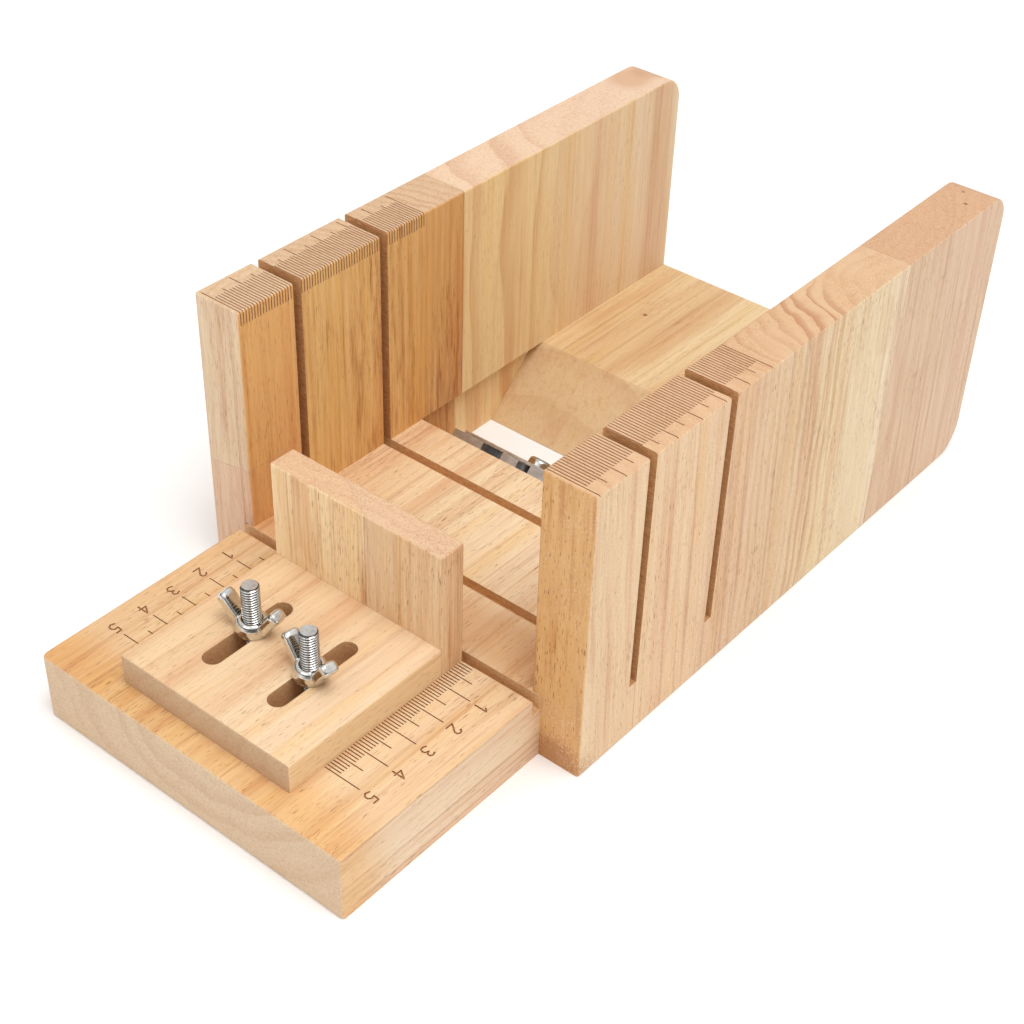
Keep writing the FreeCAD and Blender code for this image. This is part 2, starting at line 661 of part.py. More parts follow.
def right_wall():
    joint = from_front("dims.right_joint")
    front_stave = wall_stave("right_wall_front_stave", 1, WALL_FRONT, joint, False, True)
    cut_kerf(front_stave, 1, "dims.kerf_first")
    cut_kerf(front_stave, 1, "dims.kerf_second")
    wall_dowel_holes(front_stave, 1, FRONT_DOWELS)
    engrave_wall_top(front_stave, 1, *WHOLE_LINES)
    node(front_stave)

    rear_stave = wall_stave("right_wall_rear_stave", 1, joint, WALL_REAR, True, False)
    wall_dowel_holes(rear_stave, 1, REAR_DOWELS)
    node(rear_stave)


def dowel(name, radius, length, turn, bindings):
    """A plain dowel: a cylinder whose sizes and place are bound to the sheet."""
    cylinder = DOC.addObject("Part::Cylinder", name)
    cylinder.setExpression("Radius", radius)
    cylinder.setExpression("Height", length)
    cylinder.Placement = Placement(Vector(), turn)
    for axis, expression in bindings.items():
        cylinder.setExpression(f"Placement.Base.{axis}", expression)
    return cylinder


def wall_dowels(label, side):
    """Blind dowels between a wall and the edges of both floor boards."""
    along_x = Rotation(Vector(0, 1, 0), 90)
    length = "dims.dowel_in_base + dims.dowel_in_wall"
    start = f"{HALF_BASE} - dims.dowel_in_base" if side > 0 else f"-({HALF_BASE}) - dims.dowel_in_wall"
    pieces = []
    for place in FRONT_DOWELS + REAR_DOWELS:
        bindings = {"x": start, "y": from_front(place), "z": f"{FLOOR} / 2"}
        pieces.append(dowel("dowel", "dims.dowel_diameter / 2", length, along_x, bindings))
    return node(group(label, pieces))


def group(label, pieces):
    """Identical pieces kept as separate solids of one node."""
    compound = DOC.addObject("Part::Compound", label)
    compound.Links = pieces
    return compound


# ---- sliding stop ----


def stop_foot():
    """Foot of the stop: a board with two slots that ride on the bolts."""
    body = new_body("stop_foot")
    half = "dims.stop_width / 2"
    front, rear = from_front("dims.foot_front"), from_front("dims.fence_front")
    profile = sketch_on(body, "XY_Plane", "profile", FLOOR)
    draw_box(profile, f"-{half}", half, front, rear)
    pad(body, profile, "dims.foot_thickness")
    edges = [{"x": half, "z": FOOT_TOP}, {"x": f"-{half}", "z": FOOT_TOP}, {"y": front, "z": FOOT_TOP}]
    edges += [{"x": half, "y": front}, {"x": f"-{half}", "y": front}]
    round_edges(body, edges, "dims.ease_radius")
    slots = sketch_on(body, "XY_Plane", "slots", FLOOR)
    radius = "dims.slot_width / 2"
    for side in ("-", ""):
        low = f"{from_front('dims.slot_front')} + {radius}"
        high = f"{from_front('dims.slot_rear')} - {radius}"
        draw_slot(slots, f"{side}dims.bolt_spread", low, high, radius)
    pocket(body, slots, "dims.foot_thickness", along_normal=True)

    holes = sketch_on(body, "XZ_Plane", "dowel_holes", f"-({rear})")
    draw_stop_dowels(holes)
    pocket(body, holes, "dims.small_dowel_in_foot + dims.dowel_gap", along_normal=True)
    return node(body)


def draw_stop_dowels(sketch, places=STOP_DOWELS):
    middle = f"{FLOOR} + dims.foot_thickness / 2"
    for place in places:
        draw_circle(sketch, place, middle, "dims.small_dowel_diameter / 2")


def fence_stave(label, free_edge, dowel_place):
    """Half of the fence. The halves meet at a scarf, and each has one dowel into the foot."""
    body = new_body(label)
    front = from_front("dims.fence_front")
    rear = f"{front} + dims.fence_thickness"
    top = f"{FLOOR} + dims.fence_height"
    profile = sketch_on(body, "XY_Plane", "profile", FLOOR)
    joint = [("dims.fence_joint_front", front), ("dims.fence_joint_rear", rear)]
    draw_outline(profile, [(free_edge, front)] + joint + [(free_edge, rear)])
    pad(body, profile, "dims.fence_height")
    edges = [{"x": free_edge, "y": front}, {"x": free_edge, "y": rear}, {"x": free_edge, "z": top}]
    edges += [{"y": front, "z": top}, {"y": rear, "z": top}]
    round_edges(body, edges, "dims.ease_radius")
    hole = sketch_on(body, "XZ_Plane", "dowel_hole", f"-({front})")
    draw_stop_dowels(hole, [dowel_place])
    pocket(body, hole, "dims.small_dowel_in_fence + dims.dowel_gap")
    return node(body)


def stop_fence():
    half = "dims.stop_width / 2"
    fence_stave("stop_fence_left_stave", f"-{half}", STOP_DOWELS[0])
    fence_stave("stop_fence_right_stave", half, STOP_DOWELS[1])


def stop_dowels():
    along_y = Rotation(Vector(1, 0, 0), -90)
    length = "dims.small_dowel_in_foot + dims.small_dowel_in_fence"
    pieces = []
    for place in STOP_DOWELS:
        bindings = {
            "x": place,
            "y": from_front("dims.fence_front - dims.small_dowel_in_foot"),
            "z": f"{FLOOR} + dims.foot_thickness / 2",
        }
        pieces.append(dowel("stop_dowel", "dims.small_dowel_diameter / 2", length, along_y, bindings))
    return node(group("stop_dowels", pieces))


def place_body(body, across, along, up, turn=0):
    """Stands a body that was drawn about its own axis at its place, turned about +Z by turn."""
    start = Vector(value(across), value(along), value(up))
    body.Placement = Placement(start, Rotation(Vector(0, 0, 1), turn))
    body.setExpression("Placement.Base.x", across)
    body.setExpression("Placement.Base.y", along)
    body.setExpression("Placement.Base.z", up)


def coach_bolt(label, across, along):
    """Coach bolt from below: domed head in its recess, square neck, shank and chamfered end."""
    body = new_body(label)
    radius = "dims.bolt_diameter / 2"
    shank_length = "dims.bolt_top - dims.recess_depth"

    shank = sketch_on(body, "XY_Plane", "shank")
    draw_circle(shank, ZERO, ZERO, radius)
    pad(body, shank, shank_length)
    chamfer_edge(body, shank_length, "dims.bolt_chamfer")

    neck = sketch_on(body, "XY_Plane", "neck")
    half = "dims.bolt_neck / 2"
    draw_box(neck, f"-{half}", half, f"-{half}", half)
    pad(body, neck, "dims.bolt_neck_length")

    head = sketch_on(body, "XY_Plane", "head", "-dims.bolt_head_height")
    draw_circle(head, ZERO, ZERO, "dims.bolt_head_diameter / 2")
    pad(body, head, "dims.bolt_head_height")
    round_edges(body, [{"z": "-dims.bolt_head_height"}], "dims.bolt_head_round")
    place_body(body, across, along, "dims.recess_depth")
    return node(body)


def chamfer_edge(body, height, size):
    base = body.Tip
    chamfer = body.newObject("PartDesign::Chamfer", "Chamfer")
    chamfer.Base = (base, edge_names(base.Shape, z=value(height)))
    chamfer.setExpression("Size", size)
    DOC.recompute()
    return chamfer


def wing_nut(label, across, along, turn):
    """Wing nut: a conical hub and two wings that lean outwards, round the bolt's axis."""
    body = new_body(label)
    hub = sketch_on(body, "XZ_Plane", "hub")
    base_radius = "dims.nut_base_diameter / 2"
    top_radius = "dims.nut_top_diameter / 2"
    bore = "dims.bolt_diameter / 2 + dims.bolt_clearance"
    height = "dims.nut_hub_height"
    draw_outline(hub, [(bore, ZERO), (base_radius, ZERO), (top_radius, height), (bore, height)])
    turned = body.newObject("PartDesign::Revolution", "Revolution")
    turned.Profile = hub
    turned.ReferenceAxis = (hub, ["V_Axis"])
    turned.Angle = 360
    DOC.recompute()

    wings = sketch_on(body, "XZ_Plane", "wings", "-dims.wing_width / 2")
    tip = "dims.wing_tip"
    tip_inner = "dims.wing_tip - dims.wing_tip_thickness"
    root = "dims.wing_root"
    root_outer = "dims.wing_root + dims.wing_root_thickness"
    tip_low = "dims.wing_tip_low"
    for side in ("", "-"):
        corners = [
            (f"{side}({root})", "dims.wing_low"),
            (f"{side}dims.wing_toe_radius", "dims.wing_low"),
            (f"{side}({root_outer})", "dims.wing_toe_height"),
            (f"{side}({tip})", tip_low),
            (f"{side}({tip_inner})", "dims.nut_height"),
            (f"{side}({root})", "dims.wing_shoulder"),
        ]
        draw_outline(wings, corners)
    pad(body, wings, "dims.wing_width")

    tips = [{"x": f"{side}({tip})", "z": tip_low} for side in ("", "-")]
    tips += [{"x": f"{side}({tip_inner})", "z": "dims.nut_height"} for side in ("", "-")]
    round_edges(body, tips, "dims.wing_round")
    place_body(body, across, along, FOOT_TOP, turn)
    return node(body)


# ---- plane iron ----


def on_bed(body):
    """Lays a body that was drawn flat on the bed: its y runs down the bed and its z out of it."""
    body.Placement = bed_placement()
    body.setExpression("Placement.Base.y", from_front("dims.throat_front"))
    body.setExpression("Placement.Base.z", FLOOR)
    return body


def planer_blade():
    """Plane iron: two open slots for its screws, notches between ears and tongues, ground edge."""
    body = new_body("planer_blade")
    thickness = "dims.iron_thickness"
    rise = f"({FLOOR} - dims.iron_rest_height) / sin(dims.bed_angle)"
    edge = f"{rise} + {thickness} / tan(dims.bed_angle)"
    bevel_start = f"{edge} - {thickness} / tan(dims.iron_bevel)"
    side_view = sketch_on(body, "YZ_Plane", "side_view", "-dims.iron_half_width")
    upper_end = "dims.iron_start"
    corners = [(upper_end, ZERO), (upper_end, thickness), (edge, thickness), (bevel_start, ZERO)]
    draw_outline(side_view, corners)
    pad(body, side_view, "2 * dims.iron_half_width")
    round_edges(body, [{"y": upper_end, "z": thickness}], "dims.iron_round")

    notches = sketch_on(body, "XY_Plane", "notches")
    notch_end = f"{upper_end} + dims.iron_notch_depth"
    spans = (
        ("-dims.iron_ear", "-dims.iron_tongue_outer"),
        ("-dims.iron_tongue_inner", "dims.iron_tongue_inner"),
        ("dims.iron_tongue_outer", "dims.iron_ear"),
    )
    for left, right in spans:
        draw_box(notches, left, right, f"{upper_end} - {OVERRUN}", notch_end)
    pocket(body, notches, thickness, along_normal=True)

    slots = sketch_on(body, "XY_Plane", "slots")
    radius = "dims.iron_slot_width / 2"
    for side in ("-", ""):
        open_end = f"{upper_end} - {radius}"
        draw_slot(slots, f"{side}dims.bolt_spread", open_end, f"dims.iron_slot_end - {radius}", radius)
    pocket(body, slots, thickness, along_normal=True)
    return node(on_bed(body))


def blade_cap():
    """Cap plate that presses the iron on the bed."""
    body = new_body("blade_cap")
    top = "dims.iron_thickness + dims.cap_thickness"
    plate = sketch_on(body, "XY_Plane", "plate", "dims.iron_thickness")
    draw_box(plate, "-dims.cap_half_width", "dims.cap_half_width", "dims.cap_start", "dims.cap_end")
    pad(body, plate, "dims.cap_thickness")
    edges = [{"y": "dims.cap_end", "z": top}, {"y": "dims.cap_start", "z": top}]
    round_edges(body, edges, "dims.iron_round")
    holes = sketch_on(body, "XY_Plane", "holes", "dims.iron_thickness")
    for side in ("-", ""):
        radius = "dims.screw_diameter / 2 + dims.screw_clearance"
        draw_circle(holes, f"{side}dims.bolt_spread", "dims.screw_place", radius)
    pocket(body, holes, "dims.cap_thickness", along_normal=True)
    return node(on_bed(body))


def blade_screw(label, side):
    """Pan head screw with a cross recess, through cap and iron into the bed."""
    body = new_body(label)
    across = f"{side}dims.bolt_spread"
    along = "dims.screw_place"
    seat = "dims.iron_thickness + dims.cap_thickness"
    crown = f"{seat} + dims.screw_head_height"
    shank = sketch_on(body, "XY_Plane", "shank", "-dims.screw_depth")
    draw_circle(shank, across, along, "dims.screw_diameter / 2")
    pad(body, shank, f"dims.screw_depth + {seat}")
    chamfer_edge(body, "-dims.screw_depth", "dims.screw_point")
    head = sketch_on(body, "XY_Plane", "head", seat)
    draw_circle(head, across, along, "dims.screw_head_diameter / 2")
    pad(body, head, "dims.screw_head_height")
    round_edges(body, [{"z": crown}], "dims.screw_head_round")
    recess = sketch_on(body, "XY_Plane", "recess", crown)
    half, arm = "dims.screw_recess_width / 2", "dims.screw_recess_length / 2"
    draw_outline(recess, cross_corners(across, along, half, arm))
    pocket(body, recess, "dims.screw_recess_depth")
    return node(on_bed(body))


def cross_corners(across, along, half, arm):
    """The twelve corners of a cross: arm is its half length, half its arms' half width."""
    quarter = [(arm, f"-({half})"), (arm, half), (half, half)]
    corners = []
    for turn in range(4):
        for x, y in quarter:
            for _ in range(turn):
                x, y = f"-({y})", x
            corners.append((f"{across} + {x}", f"{along} + {y}"))
    return corners


# ---- assembly ----


def check_document():
    """Stops if any object failed to compute or any node's shape isn't valid."""
    DOC.recompute()
    for item in DOC.Objects:
        if "Invalid" in item.State or "Error" in item.State:
            raise RuntimeError(f"{item.Label} is {item.State}")
    for item in NODES:
        if item.Shape.isNull() or not item.Shape.isValid() or not item.Shape.Solids:
            raise RuntimeError(f"{item.Label} has no valid solid")


def export():
    os.makedirs("parts", exist_ok=True)
    for item in NODES:
        item.Shape.exportStep(os.path.join("parts", item.Label + ".step"))
        print(item.Label, len(item.Shape.Solids), round(item.Shape.Volume, 1))


base_front_board()
base_rear_board()
left_wall()
right_wall()
wall_dowels("left_wall_dowels", -1)
wall_dowels("right_wall_dowels", 1)
stop_foot()
stop_fence()
stop_dowels()
left_place, right_place = bolt_places()
coach_bolt("left_coach_bolt", *left_place)
coach_bolt("right_coach_bolt", *right_place)
wing_nut("left_wing_nut", *left_place, turn=value("dims.left_nut_turn"))
wing_nut("right_wing_nut", *right_place, turn=value("dims.right_nut_turn"))
planer_blade()
blade_cap()
blade_screw("left_blade_screw", "-")
blade_screw("right_blade_screw", "")
check_document()
export()
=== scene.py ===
import math

import bmesh
import bpy
from mathutils import Matrix, Vector


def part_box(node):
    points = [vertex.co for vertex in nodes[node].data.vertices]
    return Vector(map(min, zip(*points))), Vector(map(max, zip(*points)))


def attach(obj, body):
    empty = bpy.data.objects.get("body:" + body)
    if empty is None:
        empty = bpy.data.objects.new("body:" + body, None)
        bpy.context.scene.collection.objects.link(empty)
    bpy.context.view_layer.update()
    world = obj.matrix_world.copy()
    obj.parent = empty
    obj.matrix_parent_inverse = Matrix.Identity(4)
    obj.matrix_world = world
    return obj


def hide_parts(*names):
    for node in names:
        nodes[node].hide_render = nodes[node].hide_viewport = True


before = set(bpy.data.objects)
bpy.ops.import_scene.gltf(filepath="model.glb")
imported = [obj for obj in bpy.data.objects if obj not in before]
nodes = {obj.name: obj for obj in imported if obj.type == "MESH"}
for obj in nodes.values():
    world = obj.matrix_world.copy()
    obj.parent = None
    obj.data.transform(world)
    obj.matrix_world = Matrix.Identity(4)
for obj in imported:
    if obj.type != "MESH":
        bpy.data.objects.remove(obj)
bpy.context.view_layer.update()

MM = 0.001
X, Z = 0, 2


# ---- shader helpers ----


class Shader:
    """A material or world under construction. Inputs take a socket or a plain value."""

    def __init__(self, name, library="materials"):
        self.made = getattr(bpy.data, library).new(name)
        self.made.use_nodes = True
        self.tree = self.made.node_tree
        self.tree.nodes.clear()

    def node(self, kind, inputs=None, **settings):
        made = self.tree.nodes.new(kind)
        for key, setting in settings.items():
            setattr(made, key, setting)
        for key, value in (inputs or {}).items():
            self.feed(value, made.inputs[key])
        return made

    def feed(self, value, socket):
        if isinstance(value, bpy.types.NodeSocket):
            self.tree.links.new(value, socket)
        else:
            socket.default_value = value

    def math(self, operation, first, second=0.0, third=0.0):
        inputs = {0: first, 1: second, 2: third}
        return self.node("ShaderNodeMath", inputs, operation=operation).outputs[0]

    def vector(self, operation, first, second=(0, 0, 0)):
        made = self.node("ShaderNodeVectorMath", {0: first, 1: second}, operation=operation)
        return made.outputs["Value" if operation in ("LENGTH", "DOT_PRODUCT") else "Vector"]

    def scaled(self, vector, scale):
        """The vector, scaled by a number for each axis."""
        return self.vector("MULTIPLY", vector, scale)

    def split(self, vector):
        return self.node("ShaderNodeSeparateXYZ", {0: vector}).outputs[:]

    def join(self, x, y, z):
        return self.node("ShaderNodeCombineXYZ", {0: x, 1: y, 2: z}).outputs[0]

    def noise(self, vector, detail=3.0, roughness=0.5, scale=1.0):
        inputs = {"Vector": vector, "Scale": scale, "Detail": detail, "Roughness": roughness}
        return self.node("ShaderNodeTexNoise", inputs).outputs["Fac"]

    def cells(self, vector):
        """Distance to the nearest random point."""
        return self.node("ShaderNodeTexVoronoi", {"Vector": vector, "Scale": 1.0}).outputs["Distance"]

    def span(self, value, low, high, start=0.0, end=1.0):
        """value from low..high to start..end, held at both ends."""
        inputs = {0: value, 1: low, 2: high, 3: start, 4: end}
        return self.node("ShaderNodeMapRange", inputs, clamp=True).outputs[0]

    def smooth(self, value, low, high, start=0.0, end=1.0):
        inputs = {0: value, 1: low, 2: high, 3: start, 4: end}
        made = self.node("ShaderNodeMapRange", inputs, clamp=True, interpolation_type="SMOOTHSTEP")
        return made.outputs[0]

    def flat(self, shade):
        """One colour, as a socket."""
        made = self.node("ShaderNodeRGB").outputs[0]
        made.default_value = colour(shade)
        return made

    def mix(self, factor, first, second, blend="MIX"):
        made = self.node("ShaderNodeMix", data_type="RGBA", blend_type=blend)
        for socket, value in ((0, factor), (6, first), (7, second)):
            self.feed(colour(value) if isinstance(value, tuple) else value, made.inputs[socket])
        return made.outputs[2]

    def ramp(self, factor, stops):
        """A colour ramp through (place, colour) stops."""
        made = self.node("ShaderNodeValToRGB", {0: factor})
        elements = made.color_ramp.elements
        while len(elements) < len(stops):
            elements.new(0.5)
        for element, (place, shade) in zip(elements, stops):
            element.position = place
            element.color = colour(shade)
        return made.outputs[0]

    def finish(self, **inputs):
        """The surface. Names of the inputs have underscores for spaces."""
        surface = self.node("ShaderNodeBsdfPrincipled")
        for key, value in inputs.items():
            self.feed(value, surface.inputs[key.replace("_", " ")])
        self.node("ShaderNodeOutputMaterial", {"Surface": surface.outputs[0]})
        return self.made


def colour(shade):
    """A colour that is written in display values from 0 to 255, as linear RGBA."""
    linear = []
    for part in shade:
        level = part / 255
        linear.append(level / 12.92 if part <= 10 else ((level + 0.055) / 1.055) ** 2.4)
    return (*linear, 1.0)


# ---- wood ----

# For each grain axis, the two axes across the grain and then the grain's own.
GRAIN_ORDER = {"x": (1, 2, 0), "y": (0, 2, 1), "z": (0, 1, 2)}
# Shades that tint a board where a feature lies, and the colours that are mixed in.
PINK_CAST, GOLD_CAST = (240, 214, 200), (252, 240, 210)
LATE_WOOD, END_RING = (214, 166, 122), (200, 144, 106)
STREAK, HAIR, FLECK = (196, 142, 96), (204, 160, 120), (184, 128, 84)
PORE, END_MOTTLE = (150, 96, 58), (206, 160, 124)
PALE_FLARE, HAZE, WORN = (250, 232, 202), (240, 226, 208), (244, 214, 176)


def tinted(s, board, factor, shade):
    """The board's colour, multiplied by a shade where factor is 1."""
    return s.mix(factor, board, s.mix(1.0, board, shade, "MULTIPLY"))


def growth_rings(s, first, second, waver, ripple, pith, spacing, seed):
    """Late wood of the growth rings, 0 to 1, round a pith that lies along the grain."""
    bend = s.math("ADD", s.math("MULTIPLY", waver, 16.0), s.math("MULTIPLY", ripple, 3.0))
    side = s.math("SUBTRACT", s.math("ADD", first, bend), pith[0])
    deep = s.math("SUBTRACT", s.math("ADD", second, bend), pith[1])
    count = s.math("DIVIDE", s.vector("LENGTH", s.join(side, deep, 0.0)), spacing)
    uneven = s.noise(s.join(s.math("MULTIPLY", count, 0.45), seed, 0.0), detail=2)
    phase = s.math("FRACT", s.math("ADD", count, s.math("MULTIPLY", uneven, 1.6)))
    late = s.math("MULTIPLY", s.smooth(phase, 0.35, 0.93), s.smooth(phase, 0.93, 1.0, 1.0, 0.0))
    strong = s.smooth(s.noise(s.join(s.math("MULTIPLY", count, 0.21), seed + 5, 0.0)), 0.35, 0.7)
    return s.math("MULTIPLY", late, s.math("MULTIPLY_ADD", strong, 0.8, 0.2))


def stretch(s, parts, ripple, axis, centre, reach):
    """1 inside a stretch of a board along an axis, and 0 past its soft, uneven ends."""
    place = s.math("ADD", parts["xyz".index(axis)], s.math("MULTIPLY_ADD", ripple, 8.0, -4.0))
    gap = s.math("ABSOLUTE", s.math("SUBTRACT", place, centre))
    return s.smooth(gap, reach * 1.6, reach * 0.4)


def streaked(s, board, fibre, hair, room, streaks, hairs, flecks):
    """The board with streaks along its fibres: dark bands, fine hairs, pale flares and short flecks."""
    band = s.noise(s.scaled(fibre, (0.55, 0.55, 0.012)), detail=4, roughness=0.6)
    board = tinted(s, board, s.math("MULTIPLY", s.smooth(band, 0.5, 0.72), streaks), STREAK)
    board = tinted(s, board, s.span(hair, 0.4, 0.8, 0.0, hairs), HAIR)
    flare = s.noise(s.scaled(fibre, (0.7, 0.7, 0.02)), detail=3)
    board = s.mix(s.span(flare, 0.5, 0.85, 0.0, 0.2), board, PALE_FLARE)
    if flecks:
        tuft = s.noise(s.scaled(fibre, (0.75, 0.75, 0.06)), detail=4, roughness=0.65)
        patch = s.smooth(room, 0.40, 0.60, 0.25, 1.0)
        fleck = s.math("MULTIPLY", s.smooth(tuft, 0.44, 0.72), patch)
        board = tinted(s, board, s.math("MULTIPLY", fleck, flecks), FLECK)
    return board


def stained(s, board, place, speck, marks):
    """The board with round, ragged stains, knots and darker patches: (centre, radius, colour, strength).
    """
    for centre, radius, shade, amount in marks:
        gap = s.vector("LENGTH", s.vector("SUBTRACT", place, centre))
        ragged = s.math("ADD", gap, s.math("MULTIPLY", s.math("SUBTRACT", speck, 0.5), radius))
        board = s.mix(s.smooth(ragged, radius, radius * 0.4, 0.0, amount), board, shade)
    return board


def wooden_surface(s, board, hair, pore, speck):
    """The finished surface: relief of fibres and pores, and pale edges where they are worn."""
    height = s.math("ADD", s.math("MULTIPLY", hair, 0.35), s.math("MULTIPLY", pore, -0.8))
    rounded = s.node("ShaderNodeBevel", {"Radius": 0.35 * MM}, samples=4).outputs[0]
    relief = {"Strength": 0.22, "Distance": 0.15 * MM, "Height": height, "Normal": rounded}
    bump = s.node("ShaderNodeBump", relief)
    flat = s.node("ShaderNodeNewGeometry").outputs["Normal"]
    edge = s.math("SUBTRACT", 1.0, s.vector("DOT_PRODUCT", rounded, flat))
    worn = s.math("MULTIPLY", s.smooth(edge, 0.02, 0.2), s.span(speck, 0.35, 0.65, 0.1, 0.5))
    return s.finish(
        Base_Color=s.mix(worn, board, WORN), Roughness=s.span(hair, 0.3, 0.7, 0.5, 0.66),
        Normal=bump.outputs[0], Specular_IOR_Level=0.3,
    )


def wood(
    name, grain, tones, along, span_mm, pith=(0, -60), spacing=3.2, rings=0.3, pores=0.5, streaks=0.25,
    hairs=0.3, flecks=0.0, haze=0.0, slant=0.0, seed=0.0, end_shade=(192, 161, 128), end_mix=0.4,
    end_pores=0.5, end_rings=0.15, tints=(), bands=(), figure=None, marks=(),
):
    """Rubberwood. tones are (place, colour) stops along one axis over span_mm, the board's own range.

    grain is the axis of the fibres and pith the centre of the growth rings in millimetres across it.
    tints are (direction, shade) for the faces that look one way: painted light and
    shade on that side, with some of the wood's own tone. bands are (axis, centre, reach, shade,
    strength) of tinted stretches of the flanks, wood tones and painted light, and figure the (axis,
    centre, reach, strength) of a stretch with stronger rings. marks are (centre, radius, colour,
    strength) of stains, knots and darker patches.
    """
    s = Shader(name)
    coordinates = s.node("ShaderNodeTexCoord").outputs
    place = s.scaled(coordinates["Object"], (1000, 1000, 1000))
    parts = s.split(place)

    # Noises that run with the fibres. The third axis of fibre lies along the grain.
    first, second, length = (parts[index] for index in GRAIN_ORDER[grain])
    second = s.math("MULTIPLY_ADD", length, slant, second)
    fibre = s.vector("ADD", s.join(first, second, length), (seed, seed * 0.7, seed * 1.3))
    waver = s.noise(s.scaled(fibre, (0.03, 0.03, 0.012)), detail=2)
    ripple = s.noise(s.scaled(fibre, (0.12, 0.12, 0.02)), detail=2)
    room = s.noise(s.scaled(fibre, (0.06, 0.06, 0.03)), detail=2)
    speck = s.noise(s.scaled(fibre, (1.6, 1.6, 1.6)), detail=3, roughness=0.7)
    hair = s.noise(s.scaled(fibre, (3.4, 3.4, 0.07)), detail=4, roughness=0.65)
    dash = s.noise(s.scaled(fibre, (4.6, 4.6, 0.3)), detail=1, roughness=0.4)
    pore = s.smooth(s.math("SUBTRACT", dash, s.span(room, 0.35, 0.65, 0.69, 0.62)), 0.0, 0.06)

    # How much a face shows end grain.
    grain_axis = tuple(1.0 if letter == grain else 0.0 for letter in "xyz")
    facing = s.math("ABSOLUTE", s.vector("DOT_PRODUCT", coordinates["Normal"], grain_axis))
    end = s.smooth(facing, 0.55, 0.85)

    # The board's colour along its length or width, with broad pink and golden casts.
    low, high = span_mm
    drift = s.math("MULTIPLY", s.math("SUBTRACT", waver, 0.5), (high - low) * 0.12)
    axis = s.math("ADD", parts["xyz".index(along)], drift)
    board = s.ramp(s.span(axis, low, high), tones)
    broad = s.noise(s.scaled(fibre, (0.13, 0.13, 0.006)), detail=3)
    board = tinted(s, board, s.smooth(broad, 0.5, 0.72, 0.0, 0.6), PINK_CAST)
    board = tinted(s, board, s.smooth(broad, 0.5, 0.28, 0.0, 0.6), GOLD_CAST)

    # Growth rings, which a figure strengthens on the flanks and twice as much on the end grain.
    ring = growth_rings(s, first, second, waver, ripple, pith, spacing, seed)
    ring_strength, end_ring_strength = rings, end_rings
    if figure:
        figured = stretch(s, parts, ripple, *figure[:3])
        ring_strength = s.math("MULTIPLY_ADD", figured, figure[3] * 0.5, rings)
        end_ring_strength = s.math("MULTIPLY_ADD", figured, figure[3], end_rings)
    board = tinted(s, board, s.math("MULTIPLY", ring, ring_strength), LATE_WOOD)

    board = streaked(s, board, fibre, hair, room, streaks, hairs, flecks)
    pore_strength = s.math("MULTIPLY_ADD", end, end_pores - pores, pores)
    board = tinted(s, board, s.math("MULTIPLY", pore, pore_strength), PORE)

    end_wood = tinted(s, s.flat(end_shade), s.smooth(speck, 0.42, 0.7, 0.0, 0.4), END_MOTTLE)
    end_wood = tinted(s, end_wood, s.math("MULTIPLY", ring, end_ring_strength), END_RING)
    end_wood = tinted(s, end_wood, s.math("MULTIPLY", pore, end_pores), PORE)
    board = s.mix(s.math("MULTIPLY", end, end_mix), board, end_wood)

    # Painted light and shade: the faces that look one way are made lighter or darker, with some of the
    # wood's own tone.
    for direction, shade in tints:
        towards = s.smooth(s.vector("DOT_PRODUCT", coordinates["Normal"], direction), 0.5, 0.8)
        board = tinted(s, board, towards, shade)
    # Tinted stretches of the flanks: the wood's tones, and in one band painted light.
    for band_axis, centre, reach, shade, amount in bands:
        inside = stretch(s, parts, ripple, band_axis, centre, reach)
        flank = s.math("MULTIPLY", inside, s.smooth(end, 1.0, 0.0, 0.0, amount))
        board = tinted(s, board, flank, shade)
    board = stained(s, board, place, speck, marks)
    if haze:
        veil = s.math("MULTIPLY", s.smooth(room, 0.56, 0.40), s.smooth(speck, 0.5, 0.66))
        board = s.mix(s.math("MULTIPLY", veil, haze), board, HAZE)
    return wooden_surface(s, board, hair, pore, speck)


def rough_cut(name, pale, dark, stretched, depth):
    """Wood that a saw or a burner has cut: uneven brown, rough to a depth, with a stretched pattern."""
    s = Shader(name)
    place = s.scaled(s.node("ShaderNodeTexCoord").outputs["Object"], (1000, 1000, 1000))
    scorch_marks = s.noise(s.scaled(place, stretched), detail=4, roughness=0.7)
    shade = s.mix(s.span(scorch_marks, 0.3, 0.7), pale, dark)
    relief = {"Strength": 0.6, "Distance": depth, "Height": scorch_marks}
    bump = s.node("ShaderNodeBump", relief)
    roughness = s.span(scorch_marks, 0.3, 0.7, 0.7, 0.92)
    return s.finish(Base_Color=shade, Roughness=roughness, Normal=bump.outputs[0])


# ---- metal ----

# Colours mixed into steel: stains, brushing lines, and painted shade for the roots of a thread.
STAIN, BRUSHING, GROOVE_PAINTED_SHADE = (196, 190, 180), (206, 204, 201), (58, 54, 50)


